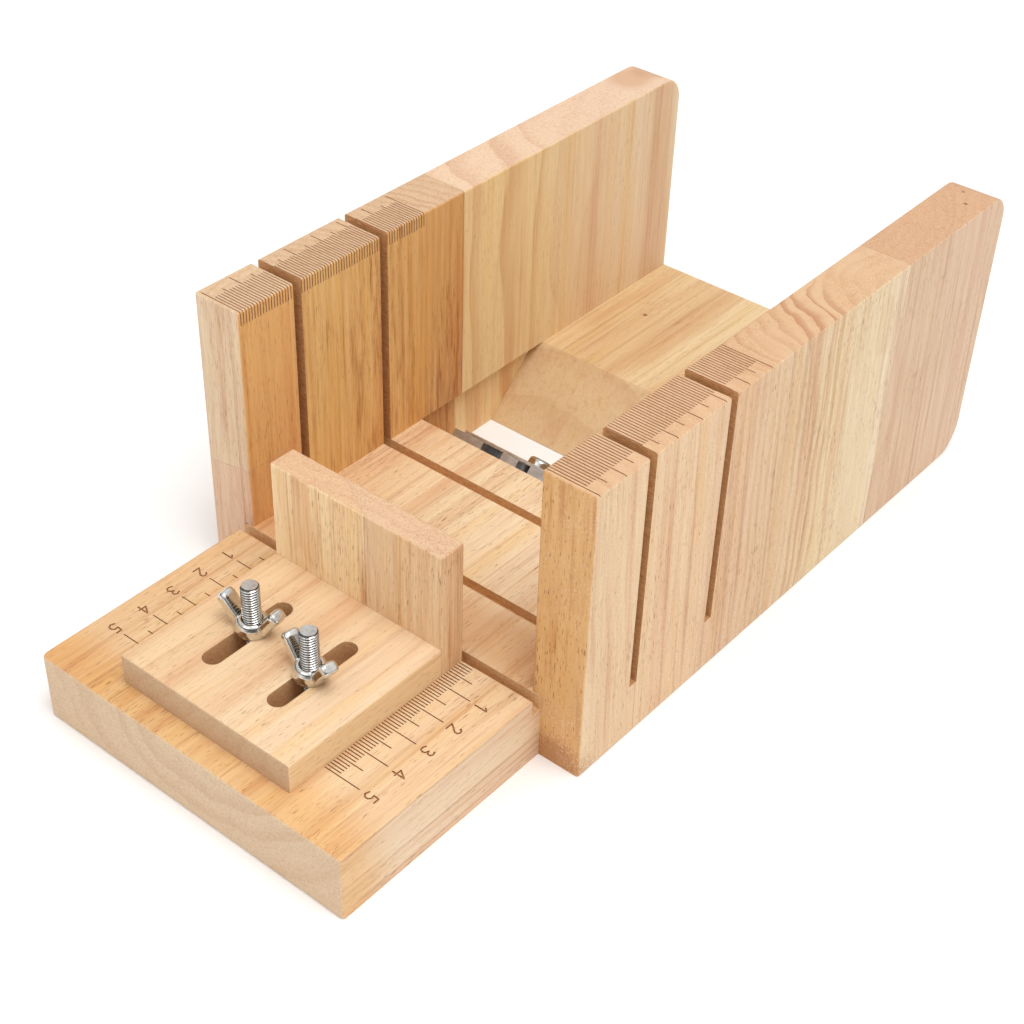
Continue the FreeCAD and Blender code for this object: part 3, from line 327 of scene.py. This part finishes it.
def metal(name, shade, roughness=0.22, brushed=(1.0, 1.0, 1.0), mottle=0.5, groove=None):
    """Plated or ground steel with brushing, stains and fine scratches. brushed stretches the lines.

    groove is the (inner, outer) radius in millimetres of a thread's flanks, which are painted darker
    inwards: painted shade in the roots of the thread.
    """
    s = Shader(name)
    coordinates = s.node("ShaderNodeTexCoord").outputs
    place = s.scaled(coordinates["Object"], (1000, 1000, 1000))
    lines = s.noise(s.scaled(place, brushed), detail=4, roughness=0.6)
    stain = s.noise(place, detail=3, scale=0.45)
    scratch = s.cells(s.scaled(place, (0.9, 2.6, 1.7)))
    tone = tinted(s, s.flat(shade), s.span(stain, 0.35, 0.7, 0.0, mottle), STAIN)
    tone = tinted(s, tone, s.span(lines, 0.3, 0.7, 0.0, 0.35), BRUSHING)
    if groove:
        axle = s.vector("LENGTH", s.scaled(place, (1, 1, 0)))
        upward = s.math("ABSOLUTE", s.split(coordinates["Normal"])[Z])
        # Painted shade: darker towards the root of the thread, on its flanks only.
        painted_root_shade = s.math("MULTIPLY", s.span(axle, *groove, 0.9, 0.0), s.smooth(upward, 0.95, 0.8))
        tone = s.mix(painted_root_shade, tone, GROOVE_PAINTED_SHADE)
    worn = s.smooth(scratch, 0.0, 0.05, 0.3, 0.0)
    rough = s.math("ADD", s.span(lines, 0.3, 0.7, roughness * 0.75, roughness * 1.35), worn)
    height = s.math("ADD", lines, s.math("MULTIPLY", stain, 0.6))
    bump = s.node("ShaderNodeBump", {"Strength": 0.12, "Distance": 0.05 * MM, "Height": height})
    return s.finish(Base_Color=tone, Metallic=1.0, Roughness=rough, Normal=bump.outputs[0])


# ---- giving the boards their materials ----


def range_mm(name, along):
    """The first and last millimetre of a node along an axis."""
    low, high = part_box(name)
    index = "xyz".index(along)
    return low[index] / MM, high[index] / MM


def dress(name, material):
    """Puts one material on a CAD node."""
    mesh = nodes[name].data
    mesh.materials.clear()
    mesh.materials.append(material)
    for polygon in mesh.polygons:
        polygon.material_index = 0


def scorch(name, material, tests):
    """Gives a cut or burnt material to the polygons that pass one of the tests."""
    mesh = nodes[name].data
    mesh.materials.append(material)
    slot = len(mesh.materials) - 1
    for polygon in mesh.polygons:
        corners = [mesh.vertices[index].co for index in polygon.vertices]
        if any(test(corners, polygon.normal) for test in tests):
            polygon.material_index = slot


# Levels of the engraved faces, and the cuts' places along Y. The end block ends at the first kerf.
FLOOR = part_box("base_front_board")[1].z
WALL_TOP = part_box("right_wall_front_stave")[1].z
LEFT_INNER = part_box("left_wall_front_stave")[1].x
ENGRAVING = 0.35 * MM
SLACK = 0.02 * MM
HALF_KERF = 1.5 * MM
KERF_SPACING = 33.25 * MM
GROOVE_AHEAD = 1.75 * MM
FIRST_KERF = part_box("left_wall_end_block_upper")[1].y + HALF_KERF
FRONT_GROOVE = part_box("right_wall_front_stave")[0].y - GROOVE_AHEAD
CUTS = (FRONT_GROOVE, FIRST_KERF, FIRST_KERF + KERF_SPACING)


def in_kerf(corners, normal):
    """Test for the faces of the saw cuts."""
    return any(all(abs(corner.y - cut) < HALF_KERF + SLACK for corner in corners) for cut in CUTS)


def in_slot(corners, normal):
    """Test for the walls of the foot's slots: upright faces well inside the board's outline."""
    low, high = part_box("stop_foot")
    inset = 3 * MM
    return abs(normal.z) < 0.5 and all(
        low.x + inset < corner.x < high.x - inset and low.y + inset < corner.y < high.y - inset
        for corner in corners
    )


def sunk(level, axis=Z):
    """Test for the polygons of an engraved line in a face at level that looks along axis."""

    def test(corners, normal):
        depths = [level - corner[axis] for corner in corners]
        if min(depths) < -SLACK or max(depths) > ENGRAVING + SLACK:
            return False
        on_floor = min(depths) > ENGRAVING - SLACK
        on_side = max(depths) > ENGRAVING - SLACK and abs(normal[axis]) < 0.3
        return on_floor or on_side

    return test


def board(node_name, label, along, **settings):
    """Dresses a board in its own wood. Places are millimetres in the part's frame."""
    span_mm = range_mm(node_name, along)
    dress(node_name, wood(label, along=along, span_mm=span_mm, **settings))


def floor_boards():
    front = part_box("base_front_board")[0].y / MM
    board(
        "base_front_board", "floor_front_wood", grain="y", along="x",
        tones=[
            (0.0, (223, 185, 140)), (0.35, (228, 202, 162)), (0.7, (233, 207, 170)),
            (1.0, (231, 198, 157)),
        ],
        pith=(18, 60), spacing=9, rings=0.3, pores=0.6, streaks=0.45, hairs=0.4, seed=11,
        end_shade=(210, 185, 155), end_mix=0.85, end_pores=0.1, end_rings=0.3,
        # Painted light: the side that looks to +X is brightened.
        tints=[((1, 0, 0), (255, 266, 284))],
        bands=[
            ("y", front, 12, (250, 232, 204), 1.0), ("y", -52, 9, (244, 228, 214), 1.0),
            # Painted light: the floor between the walls is brightened round y = -8.
            ("y", -8, 24, (266, 272, 280), 1.0),
        ],
    )
    board(
        "base_rear_board", "floor_rear_wood", grain="y", along="x",
        tones=[(0.0, (224, 194, 146)), (0.5, (225, 200, 157)), (1.0, (228, 204, 164))],
        pith=(-20, -55), spacing=14, rings=0.3, pores=0.4, streaks=0.3, seed=23,
        end_shade=(214, 184, 148), end_mix=0.8, end_pores=0.1, end_rings=0.2,
        marks=[((-35, 102, FLOOR / MM), 1.1, (120, 84, 52), 0.8)],
    )


def left_wall_boards():
    top = WALL_TOP / MM
    board(
        "left_wall_end_block_upper", "block_wood_upper", grain="z", along="x",
        tones=[(0.0, (227, 205, 173)), (0.6, (226, 202, 170)), (1.0, (226, 200, 166))],
        pith=(40, -30), rings=0.25, pores=0.5, streaks=0.4, seed=31, flecks=0.25,
        end_shade=(214, 182, 146), end_mix=0.7, end_rings=0.25,
        # The inner face, which looks to +X, is brightened and made more golden: painted light and the
        # wood's tone.
        tints=[((1, 0, 0), (259, 231, 182))],
    )
    board(
        "left_wall_end_block_lower", "block_wood_lower", grain="z", along="x",
        tones=[(0.0, (226, 196, 167)), (1.0, (224, 190, 160))],
        pith=(30, -20), rings=0.2, pores=0.4, streaks=0.35, seed=31, flecks=0.25,
        # The inner face, which looks to +X, is brightened and made more golden: painted light and the
        # wood's tone.
        tints=[((1, 0, 0), (258, 237, 188))],
    )
    board(
        "left_wall_front_stave", "left_front_wood", grain="z", along="y",
        tones=[(0.0, (232, 193, 126)), (0.5, (228, 184, 118)), (1.0, (219, 168, 104))],
        pith=(-20, -70), rings=0.25, pores=0.4, streaks=0.35, flecks=0.65, seed=41,
        end_shade=(210, 180, 148), end_mix=0.85, end_pores=0.35, end_rings=0.35,
    )
    board(
        "left_wall_rear_stave", "left_rear_wood", grain="z", along="y",
        tones=[
            (0.0, (243, 214, 160)), (0.3, (240, 212, 158)), (0.6, (234, 204, 163)),
            (1.0, (232, 210, 178)),
        ],
        pith=(-10, 130), spacing=13, rings=0.45, pores=0.3, streaks=0.25, seed=53,
        end_shade=(226, 195, 168), end_mix=0.85, end_pores=0.15, end_rings=0.25,
        bands=[("y", 124, 6, (236, 214, 196), 0.7)],
        marks=[
            ((-60, 119, top), 9, (196, 146, 106), 0.5), ((-59, 128, top), 8, (190, 140, 102), 0.5),
        ],
    )


def right_wall_boards():
    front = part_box("right_wall_front_stave")[0].y / MM
    top = WALL_TOP / MM
    board(
        "right_wall_front_stave", "right_front_wood", grain="z", along="y",
        tones=[
            (0.0, (224, 195, 156)), (0.28, (226, 194, 156)), (0.45, (218, 184, 149)),
            (0.65, (218, 189, 153)), (0.78, (225, 203, 163)), (1.0, (228, 209, 177)),
        ],
        pith=(90, 84), spacing=4.2, rings=0.2, pores=0.75, streaks=0.4, haze=0.25, slant=0.05, seed=61,
        end_shade=(214, 174, 134), end_mix=0.8, end_rings=0.2,
        # The front face, which looks to -Y, is darker: partly the wood's own tone, partly painted shade.
        tints=[((0, -1, 0), (246, 224, 190))], figure=("y", 30, 16, 0.9),
        # A darker round patch at the foot of the front face.
        marks=[((58, front, 0), 12, (166, 112, 68), 0.75)],
    )
    board(
        "right_wall_rear_stave", "right_rear_wood", grain="z", along="y",
        tones=[(0.0, (215, 185, 154)), (1.0, (218, 188, 160))],
        pith=(30, 100), rings=0.2, pores=0.5, streaks=0.35, slant=0.05, seed=71,
        end_shade=(208, 165, 127), end_mix=0.8,
        marks=[
            ((60, 118, top), 0.8, (120, 76, 50), 0.8), ((56, 124, top), 0.7, (130, 84, 56), 0.7),
        ],
    )


def stop_boards():
    board(
        "stop_foot", "stop_wood", grain="y", along="x",
        tones=[(0.0, (230, 199, 157)), (0.5, (231, 201, 162)), (1.0, (236, 208, 174))],
        pith=(-30, 60), spacing=6, rings=0.25, pores=0.5, streaks=0.28, seed=83,
        end_shade=(192, 161, 128), end_mix=0.85, end_pores=0.3,
        # Painted light: the side that looks to +X is brightened.
        tints=[((1, 0, 0), (254, 252, 238))],
    )
    board(
        "stop_fence_left_stave", "fence_left_wood", grain="z", along="x",
        tones=[(0.0, (246, 220, 176)), (1.0, (244, 216, 170))],
        pith=(0, 40), spacing=3.0, rings=0.3, pores=0.5, streaks=0.55, hairs=0.55, seed=91,
        end_shade=(218, 180, 144), end_mix=0.85, end_pores=0.35,
    )
    board(
        "stop_fence_right_stave", "fence_right_wood", grain="z", along="x",
        tones=[(0.0, (232, 202, 166)), (1.0, (231, 199, 158))],
        pith=(10, 50), spacing=3.0, rings=0.3, pores=0.65, streaks=0.6, hairs=0.6, seed=97,
        end_shade=(220, 186, 152), end_mix=0.85, end_pores=0.6,
    )


def dowels():
    tones = [(0.0, (215, 182, 142)), (1.0, (211, 176, 134))]
    material = wood("dowel_wood", grain="x", tones=tones, along="y", span_mm=(-60, 130), seed=5)
    for name in ("left_wall_dowels", "right_wall_dowels", "stop_dowels"):
        dress(name, material)


def cuts_and_lines():
    """Saw cuts, slots and engraved lines have materials of their own on the boards."""
    lines = {"stretched": (1.7, 1.7, 1.7), "depth": 0.1 * MM}
    cuts = {"stretched": (0.7, 1.2, 1.9), "depth": 0.3 * MM}
    scribed = rough_cut("scribed_wood", (204, 150, 106), (172, 116, 76), **lines)
    burnt = rough_cut("burnt_wood", (186, 134, 84), (152, 98, 58), **lines)
    sawn = rough_cut("sawn_wood", (216, 166, 110), (178, 122, 74), **cuts)
    sawn_floor = rough_cut("sawn_floor_wood", (235, 196, 143), (199, 149, 102), **cuts)
    slot = rough_cut("slot_wood", (226, 182, 132), (192, 144, 98), **cuts)
    for name in ("left_wall_end_block_upper", "left_wall_front_stave", "right_wall_front_stave"):
        scorch(name, scribed, [sunk(WALL_TOP), sunk(LEFT_INNER, X)])
        scorch(name, sawn, [in_kerf])
    scorch("left_wall_end_block_lower", sawn, [in_kerf])
    scorch("base_front_board", burnt, [sunk(FLOOR)])
    scorch("base_front_board", sawn_floor, [in_kerf])
    scorch("stop_foot", slot, [in_slot])


# ---- iron and its screws ----


def dress_iron():
    blade = metal("blade_steel", (206, 208, 212), roughness=0.36, brushed=(0.3, 4.0, 4.0))
    dress("planer_blade", blade)
    dress("blade_cap", metal("cap_steel", (212, 214, 217), roughness=0.3, brushed=(0.3, 3.0, 3.0)))
    screw = metal("screw_steel", (214, 213, 210), roughness=0.16)
    dress("left_blade_screw", screw)
    dress("right_blade_screw", screw)


# ---- coach bolts and wing nuts ----

# Coach bolt: domed head, square neck, and a thread on the rest of the shank. THREAD_FLAT is a share
# of the pitch, HEAD_FLAT of the head's radius, and THREAD_GROOVE two radii in millimetres.
BOLT_RADIUS = 2.5 * MM
PITCH = 0.8 * MM
THREAD_DEPTH = 0.45 * MM
THREAD_FLAT = 0.15
THREAD_GROOVE = (2.2, 2.46)
HEAD_HEIGHT = 2.8 * MM
HEAD_FLAT = 0.35
DOME_HEIGHT = 2.24 * MM
DOME_STEPS = 8
NECK_HALF = 2.646 * MM
NECK_LENGTH = 3.0 * MM
PLAIN_SHANK = 4.0 * MM
CHAMFER = 0.4 * MM
AROUND = 48
ROWS_PER_TURN = 8


def tube(name, rings):
    """A closed mesh through rings of (height, function of the angle that gives the radius)."""
    vertices = []
    for height, radius in rings:
        for step in range(AROUND):
            angle = 2 * math.pi * step / AROUND
            reach = radius(angle)
            vertices.append((reach * math.cos(angle), reach * math.sin(angle), height))
    faces = []
    for ring in range(len(rings) - 1):
        start, above = ring * AROUND, (ring + 1) * AROUND
        for step in range(AROUND):
            following = (step + 1) % AROUND
            faces.append((start + step, start + following, above + following, above + step))
    faces.append(tuple(reversed(range(AROUND))))
    faces.append(tuple(range((len(rings) - 1) * AROUND, len(rings) * AROUND)))
    mesh = bpy.data.meshes.new(name)
    mesh.from_pydata(vertices, [], faces)
    mesh.update()
    made = bpy.data.objects.new(name, mesh)
    bpy.context.collection.objects.link(made)
    return made


def round_ring(radius):
    return lambda angle: radius


def square_ring(half):
    return lambda angle: half / max(abs(math.cos(angle)), abs(math.sin(angle)))


def thread_ring(height):
    """Section through a V thread: the radius falls and rises once in a turn."""

    def radius(angle):
        phase = (height / PITCH - angle / (2 * math.pi)) % 1.0
        groove = (abs(phase - 0.5) * 2 - THREAD_FLAT) / (1 - 2 * THREAD_FLAT)
        return BOLT_RADIUS - THREAD_DEPTH * min(1.0, max(0.0, groove))

    return radius


def finish_mesh(made, material, sharp_angle):
    """Gives a mesh its material and smooth faces between sharp edges."""
    made.data.materials.append(material)
    for polygon in made.data.polygons:
        polygon.use_smooth = True
    made.data.set_sharp_from_angle(angle=math.radians(sharp_angle))


def bolt_head(underside, radius):
    """Rings of the domed head, which looks down."""
    rings = []
    for step in range(DOME_STEPS + 1):
        angle = math.pi / 2 * step / DOME_STEPS
        reach = radius * (HEAD_FLAT + (1 - HEAD_FLAT) * math.sin(angle))
        rings.append((underside + DOME_HEIGHT * (1 - math.cos(angle)), round_ring(reach)))
    rings.append((underside + HEAD_HEIGHT, round_ring(radius)))
    return rings


def bolt_thread(start, top):
    """Rings of the threaded shank."""
    steps = round((top - start) / PITCH * ROWS_PER_TURN)
    heights = [start + (top - start) * step / steps for step in range(steps + 1)]
    return [(height, thread_ring(height)) for height in heights]


def threaded_bolt(node_name, material):
    """Coach bolt with a real thread, in the place of the plain CAD bolt."""
    low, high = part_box(node_name)
    neck_start = low.z + HEAD_HEIGHT
    neck_end = neck_start + NECK_LENGTH
    rings = bolt_head(low.z, (high.x - low.x) / 2)
    rings.append((neck_start, square_ring(NECK_HALF)))
    rings.append((neck_end, square_ring(NECK_HALF)))
    rings.append((neck_end, round_ring(BOLT_RADIUS - THREAD_DEPTH)))
    rings += bolt_thread(neck_end + PLAIN_SHANK, high.z - CHAMFER)
    rings.append((high.z, round_ring(BOLT_RADIUS - CHAMFER)))
    bolt = tube(node_name + "_threaded", rings)
    bolt.location = ((low.x + high.x) / 2, (low.y + high.y) / 2, 0)
    finish_mesh(bolt, material, 30)
    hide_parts(node_name)
    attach(bolt, "box")


# Hub of a wing nut as (radius, height) and a wing as (reach, height, half thickness, half width),
# both in millimetres from the middle of the nut's seat.
HUB = [
    (2.6, 0.4), (3.3, 0.0), (4.3, 0.0), (4.62, 0.25), (4.68, 1.3), (4.45, 2.5), (4.0, 3.6), (3.5, 4.05),
    (2.95, 4.1), (2.6, 3.8),
]
WING = [
    (3.6, 1.8, 1.75, 2.1), (4.6, 3.4, 1.7, 2.3), (5.7, 5.0, 1.6, 2.4), (6.8, 6.5, 1.65, 2.45),
    (7.8, 7.7, 1.75, 2.45), (8.4, 8.4, 1.6, 2.2), (8.75, 8.8, 1.1, 1.6),
]
WING_CORNERS = 24
SQUARENESS = 0.55
VOXEL = 0.14 * MM
NUT_CLEARANCE = 0.03 * MM


def squircle(angle, half_thickness, half_width):
    """A point of a rounded rectangle."""
    x = math.copysign(abs(math.cos(angle)) ** SQUARENESS, math.cos(angle)) * half_thickness
    y = math.copysign(abs(math.sin(angle)) ** SQUARENESS, math.sin(angle)) * half_width
    return x, y


def add_loop_skin(mesh, loops, closed):
    """Quads between loops of vertices. An open row of loops gets end caps."""
    count = len(loops[0])
    spans = len(loops) if closed else len(loops) - 1
    for row in range(spans):
        current, following = loops[row], loops[(row + 1) % len(loops)]
        for step in range(count):
            after = (step + 1) % count
            mesh.faces.new((current[step], current[after], following[after], following[step]))
    if not closed:
        mesh.faces.new(list(reversed(loops[0])))
        mesh.faces.new(loops[-1])


def wing_loops(mesh, side):
    """Cross sections of one wing, square to its middle line."""
    loops = []
    for number, (reach, height, half_thickness, half_width) in enumerate(WING):
        before = Vector(WING[max(number - 1, 0)][:2])
        after = Vector(WING[min(number + 1, len(WING) - 1)][:2])
        run = (after - before).normalized()
        across = Vector((run.y, -run.x))
        loop = []
        for step in range(WING_CORNERS):
            thick, wide = squircle(2 * math.pi * step / WING_CORNERS, half_thickness, half_width)
            x = (reach + across.x * thick) * side * MM
            z = (height + across.y * thick) * MM
            loop.append(mesh.verts.new((x, wide * MM, z)))
        loops.append(loop)
    return loops


def hub_loops(mesh):
    """Circles round the nut's axle, through the hub's outline."""
    loops = []
    for radius, height in HUB:
        loop = []
        for step in range(AROUND):
            angle = 2 * math.pi * step / AROUND
            x, y = radius * math.cos(angle) * MM, radius * math.sin(angle) * MM
            loop.append(mesh.verts.new((x, y, height * MM)))
        loops.append(loop)
    return loops


def melted(made):
    """The object's mesh with its pieces melted together by a fine remesh, and smoothed."""
    remesh = made.modifiers.new("melt", "REMESH")
    remesh.mode = "VOXEL"
    remesh.voxel_size = VOXEL
    remesh.use_smooth_shade = True
    smooth = made.modifiers.new("smooth", "SMOOTH")
    smooth.factor = 0.5
    smooth.iterations = 6
    bpy.context.view_layer.update()
    graph = bpy.context.evaluated_depsgraph_get()
    shape = bpy.data.meshes.new_from_object(made.evaluated_get(graph))
    made.modifiers.clear()
    return shape


def wing_nut(node_name, body, turn, material):
    """Cast wing nut, turned by some degrees: a hub and two wings, a hair above its seat."""
    low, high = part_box(node_name)
    mesh = bmesh.new()
    add_loop_skin(mesh, hub_loops(mesh), True)
    for side in (-1, 1):
        add_loop_skin(mesh, wing_loops(mesh, side), False)
    bmesh.ops.recalc_face_normals(mesh, faces=mesh.faces)
    data = bpy.data.meshes.new(node_name + "_cast")
    mesh.to_mesh(data)
    mesh.free()
    nut = bpy.data.objects.new(node_name + "_cast", data)
    bpy.context.collection.objects.link(nut)
    nut.data = melted(nut)
    nut.location = ((low.x + high.x) / 2, (low.y + high.y) / 2, low.z + NUT_CLEARANCE)
    nut.rotation_euler = (0, 0, math.radians(turn))
    nut.data.materials.clear()
    finish_mesh(nut, material, 60)
    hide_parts(node_name)
    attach(nut, body)


# ---- stage, light and camera ----

AIM = Vector((0, 0, 0.03))


def stage():
    """Plain white floor. Far from the object it glows for the camera, so that no horizon shows."""
    bpy.ops.mesh.primitive_plane_add(size=30, location=(0, 0, 0))
    floor = bpy.context.object
    floor.name = "floor"
    s = Shader("floor_white")
    place = s.node("ShaderNodeTexCoord").outputs["Object"]
    grain = s.noise(place, detail=2, scale=40)
    shade = s.mix(grain, (250, 250, 250), (252, 252, 252))
    seen = s.node("ShaderNodeLightPath").outputs["Is Camera Ray"]
    fade = s.math("MULTIPLY", s.smooth(s.vector("LENGTH", place), 0.3, 0.9), seen)
    floor.data.materials.append(s.finish(Base_Color=shade, Roughness=0.9, Emission_Strength=fade))


def surroundings():
    """A pale room: white to the camera, and dark low down in reflections, so that metal has contrast."""
    s = Shader("white_room", "worlds")
    ray = s.node("ShaderNodeLightPath").outputs
    height = s.split(s.node("ShaderNodeTexCoord").outputs["Generated"])[Z]
    reflected = s.span(height, 0.05, 0.75, 0.032, 0.96)
    level = s.math("MULTIPLY_ADD", ray["Is Glossy Ray"], s.math("SUBTRACT", reflected, 0.8), 0.8)
    level = s.math("MAXIMUM", level, s.math("MULTIPLY", ray["Is Camera Ray"], 1.2))
    room = s.node("ShaderNodeBackground", {"Color": colour((255, 255, 255)), "Strength": level})
    s.node("ShaderNodeOutputWorld", {"Surface": room.outputs[0]})
    bpy.context.scene.world = s.made


def area_light(name, place, size, power):
    """Soft square lamp that looks at the object."""
    data = bpy.data.lights.new(name, "AREA")
    data.shape = "SQUARE"
    data.size = size
    data.energy = power
    light = bpy.data.objects.new(name, data)
    light.location = place
    light.rotation_mode = "QUATERNION"
    light.rotation_quaternion = (AIM - Vector(place)).to_track_quat("-Z", "Y")
    bpy.context.collection.objects.link(light)


def camera():
    """Camera at the photograph's angle, with its lens shift."""
    data = bpy.data.cameras.new("camera")
    data.sensor_width = 36
    data.lens = 64.56
    data.shift_x = 0.0042
    data.shift_y = 0.0378
    made = bpy.data.objects.new("camera", data)
    bpy.context.collection.objects.link(made)
    forward = Vector((-0.48362, 0.60740, -0.63021))
    right = Vector((0.76869, 0.63909, 0.02607))
    up = right.cross(forward)
    turn = Matrix((right, up, -forward)).transposed()
    made.matrix_world = Matrix.Translation((0.253494, -0.328307, 0.338322)) @ turn.to_4x4()
    bpy.context.scene.camera = made


floor_boards()
left_wall_boards()
right_wall_boards()
stop_boards()
dowels()
cuts_and_lines()
dress_iron()
# Bolt steel, with painted shade in the roots of its thread.
bolt_steel = metal("bolt_steel", (226, 225, 222), roughness=0.18, groove=THREAD_GROOVE)
threaded_bolt("left_coach_bolt", bolt_steel)
threaded_bolt("right_coach_bolt", bolt_steel)
nut_steel = metal("nut_steel", (228, 226, 222), roughness=0.14, mottle=0.3)
wing_nut("left_wing_nut", "left_nut", 8, nut_steel)
wing_nut("right_wing_nut", "right_nut", -10, nut_steel)
stage()
surroundings()
area_light("key", (0.42, -0.12, 1.3), size=0.7, power=9.0)
area_light("front", (-0.1, -1.2, 0.9), size=0.9, power=2.0)
camera()
bpy.context.scene.view_settings.view_transform = "Standard"
bpy.context.scene.view_settings.look = "None"
